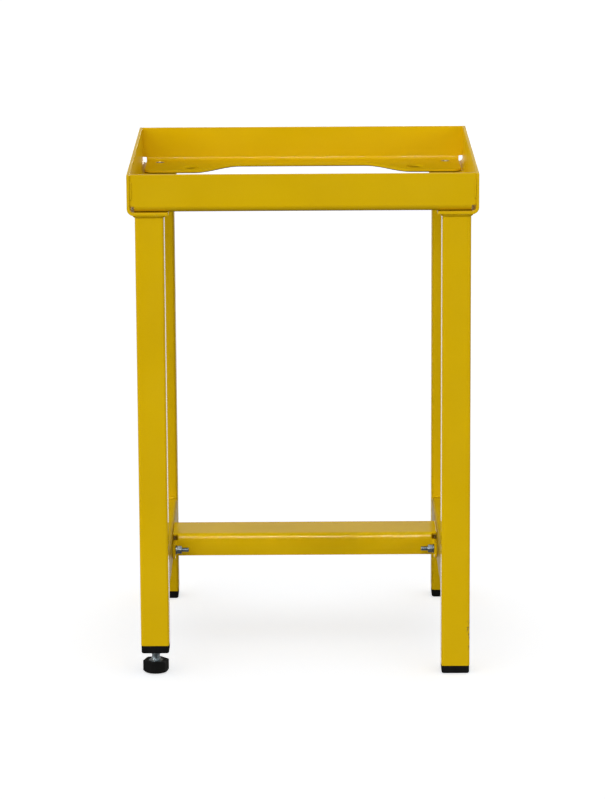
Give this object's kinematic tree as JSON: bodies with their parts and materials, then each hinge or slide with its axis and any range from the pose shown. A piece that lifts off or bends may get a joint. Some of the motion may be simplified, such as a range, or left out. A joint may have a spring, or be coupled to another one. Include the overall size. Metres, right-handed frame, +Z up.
{
  "type": "tool chest stand",
  "caption": "Welded steel stand: a shallow open tray of folded plate on square legs, tied by a bolted crossbar, with plastic end caps and a levelling foot.",
  "frame": {"origin": "on the floor, under the middle of the tray", "axes": "+Z up, +X to the right seen from the front, -Y towards the front"},
  "size_m": [0.485, 0.45, 0.716],
  "materials": {
    "yellow_paint": "glossy powder coat",
    "black_plastic": "moulded",
    "zinc_steel": "zinc plated",
    "black_rubber": "matt"
  },
  "bodies": {
    "stand": {"left_side_angle": "yellow_paint", "right_side_angle": "yellow_paint", "front_rail": "yellow_paint", "rear_rail": "yellow_paint", "front_left_leg": "yellow_paint", "front_right_leg": "yellow_paint", "rear_left_leg": "yellow_paint", "rear_right_leg": "yellow_paint", "left_lower_rail": "yellow_paint", "right_lower_rail": "yellow_paint", "lower_crossbar": "yellow_paint", "front_left_corner_weld": "yellow_paint", "front_right_corner_weld": "yellow_paint", "rear_left_corner_weld": "yellow_paint", "rear_right_corner_weld": "yellow_paint", "front_left_leg_weld": "yellow_paint", "front_right_leg_weld": "yellow_paint", "rear_left_leg_weld": "yellow_paint", "rear_right_leg_weld": "yellow_paint", "front_left_upper_rail_weld": "yellow_paint", "front_right_upper_rail_weld": "yellow_paint", "rear_left_upper_rail_weld": "yellow_paint", "rear_right_upper_rail_weld": "yellow_paint", "front_left_lower_rail_weld": "yellow_paint", "front_right_lower_rail_weld": "yellow_paint", "rear_left_lower_rail_weld": "yellow_paint", "rear_right_lower_rail_weld": "yellow_paint", "left_crossbar_bolt": "zinc_steel", "right_crossbar_bolt": "zinc_steel", "left_crossbar_nut": "zinc_steel", "right_crossbar_nut": "zinc_steel", "left_inner_washer": "zinc_steel", "right_inner_washer": "zinc_steel", "left_outer_washer": "zinc_steel", "right_outer_washer": "zinc_steel", "front_left_tray_insert": "zinc_steel", "front_right_tray_insert": "zinc_steel", "rear_left_tray_insert": "zinc_steel", "rear_right_tray_insert": "zinc_steel", "front_right_end_cap": "black_plastic", "rear_left_end_cap": "black_plastic", "rear_right_end_cap": "black_plastic", "front_left_threaded_cap": "black_plastic", "foot_bush": "zinc_steel"},
    "foot_base": {"foot_sole": "black_rubber"},
    "foot_screw": {"foot_stud": "zinc_steel", "foot_knob": "black_plastic"}
  },
  "joints": [
    {"name": "foot_height", "type": "slide", "parent": "stand", "child": "foot_base", "axis": [0, 0, 1], "range_m": [-0.0105, 0.01225]},
    {"name": "foot_turn", "type": "hinge", "parent": "foot_base", "child": "foot_screw", "pos_m": [-0.212, -0.201, 0.03], "axis": [0, 0, 1], "range_deg": [-2163, 2523]}
  ],
  "couplings": [
    {"joint": "foot_turn", "follows": "foot_height", "rad_per_m": 3590.4}
  ]
}
